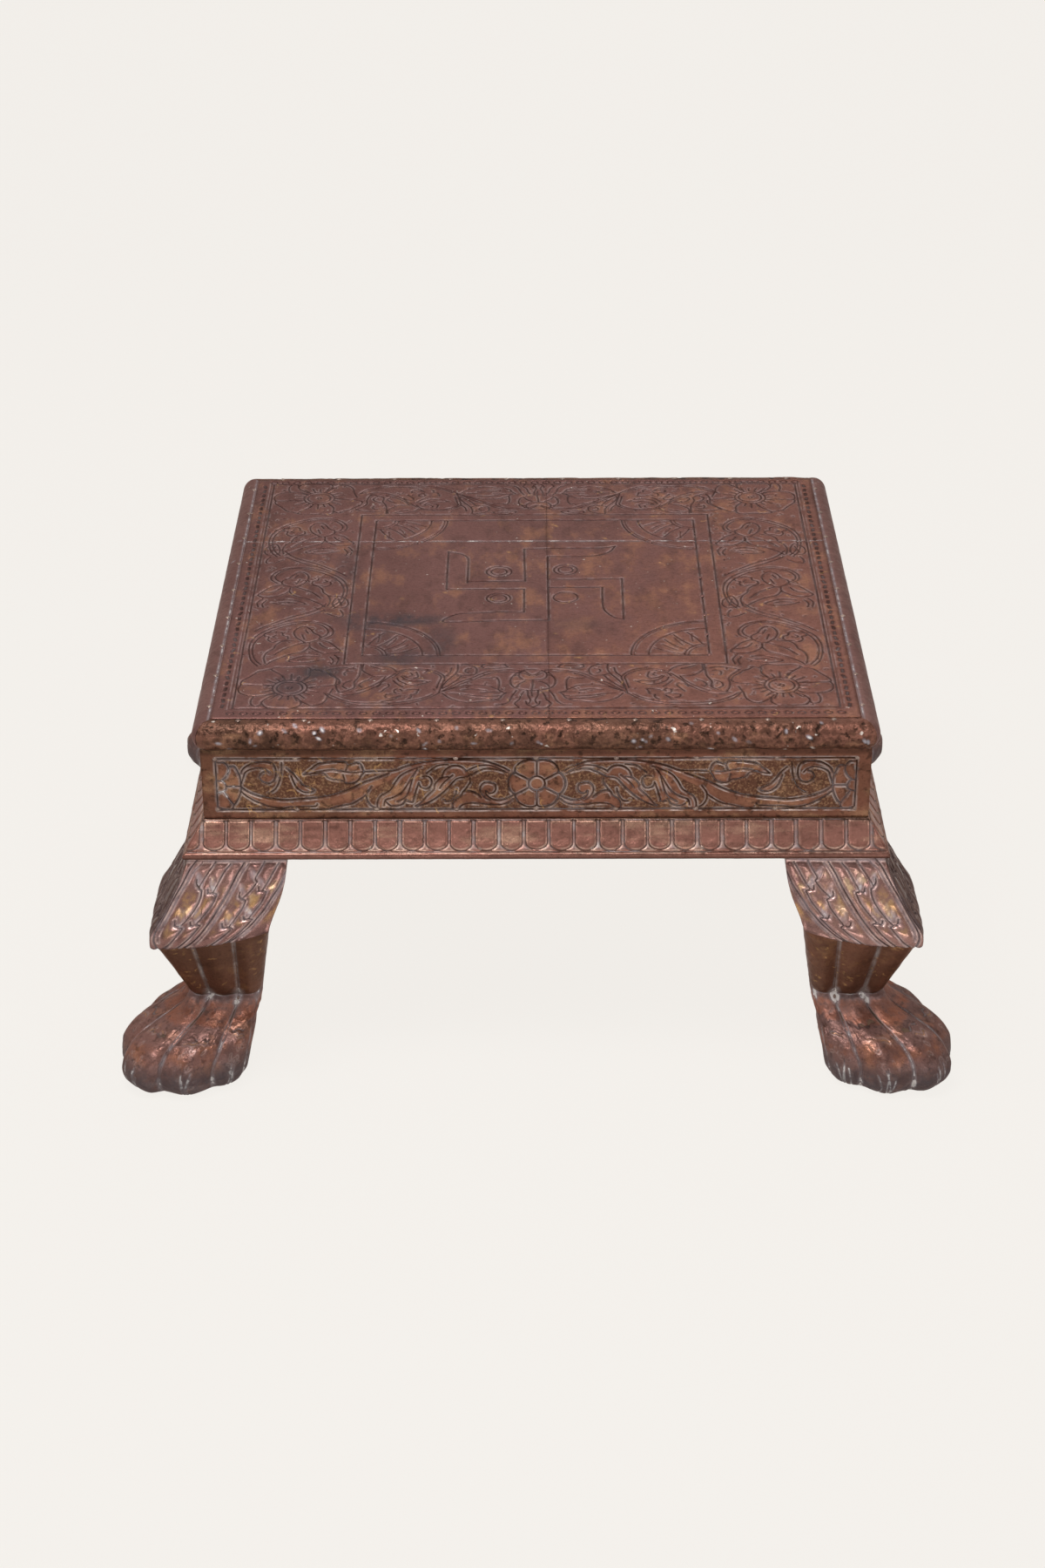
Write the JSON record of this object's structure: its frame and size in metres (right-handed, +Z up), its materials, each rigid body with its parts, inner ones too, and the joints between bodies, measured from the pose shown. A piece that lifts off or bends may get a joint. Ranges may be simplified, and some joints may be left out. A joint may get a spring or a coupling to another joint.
{
  "type": "puja table",
  "caption": "Low square table of hardwood clad in chased copper sheet, with a rounded edge, a carved frieze, a flared petal moulding and lion paw legs.",
  "frame": {"origin": "on the floor under the middle of the table", "axes": "+X along the front to the right, +Y from the front to the back, +Z up"},
  "size_m": [0.5786, 0.5442, 0.2628],
  "materials": {
    "plank_wood": "sawn hardwood, dry and dark with age",
    "rail_wood": "sawn hardwood, dry and dark with age",
    "moulding_wood": "planed hardwood under the copper",
    "leg_wood": "carved hardwood, chiselled and dark with age",
    "peg_wood": "split hardwood pegs",
    "top_copper": "old copper sheet with chased lines, dark purple brown patina, satin",
    "nose_copper": "old copper sheet, hammered, warm brown patina with worn bright dents",
    "frieze_copper": "old copper sheet with raised work on a stippled ground, olive brown patina",
    "petal_copper": "old copper sheet with raised petals, red brown patina",
    "knee_copper": "old copper sheet with raised leaves, grey pink patina, worn golden",
    "shin_copper": "old copper sheet, smooth, dark brown patina",
    "paw_copper": "old copper sheet dressed over the toes, red brown patina, pale residue in the grooves",
    "pin_copper": "small copper pins with low domed heads"
  },
  "bodies": {
    "root": {"ankle_pins": "pin_copper", "back_rail": "rail_wood", "base_moulding_back": "moulding_wood", "base_moulding_front": "moulding_wood", "base_moulding_left": "moulding_wood", "base_moulding_right": "moulding_wood", "board_dowels": "peg_wood", "frieze_panel_back": "frieze_copper", "frieze_panel_front": "frieze_copper", "frieze_panel_left": "frieze_copper", "frieze_panel_right": "frieze_copper", "frieze_pins": "pin_copper", "front_rail": "rail_wood", "knee_cover_back_left": "knee_copper", "knee_cover_back_right": "knee_copper", "knee_cover_front_left": "knee_copper", "knee_cover_front_right": "knee_copper", "knee_pins": "pin_copper", "left_rail": "rail_wood", "leg_back_left": "leg_wood", "leg_back_right": "leg_wood", "leg_front_left": "leg_wood", "leg_front_right": "leg_wood", "moulding_pins": "pin_copper", "nose_pins": "pin_copper", "nose_strip_back": "nose_copper", "nose_strip_front": "nose_copper", "nose_strip_left": "nose_copper", "nose_strip_right": "nose_copper", "paw_cover_back_left": "paw_copper", "paw_cover_back_right": "paw_copper", "paw_cover_front_left": "paw_copper", "paw_cover_front_right": "paw_copper", "petal_strip_back": "petal_copper", "petal_strip_front": "petal_copper", "petal_strip_left": "petal_copper", "petal_strip_right": "petal_copper", "rail_pegs": "peg_wood", "right_rail": "rail_wood", "shin_sleeve_back_left": "shin_copper", "shin_sleeve_back_right": "shin_copper", "shin_sleeve_front_left": "shin_copper", "shin_sleeve_front_right": "shin_copper", "toe_pins": "pin_copper", "top_pins": "pin_copper", "top_plank_1": "plank_wood", "top_plank_2": "plank_wood", "top_plank_3": "plank_wood", "top_sheet_back_left": "top_copper", "top_sheet_back_right": "top_copper", "top_sheet_front_left": "top_copper", "top_sheet_front_right": "top_copper"}
  },
  "joints": []
}
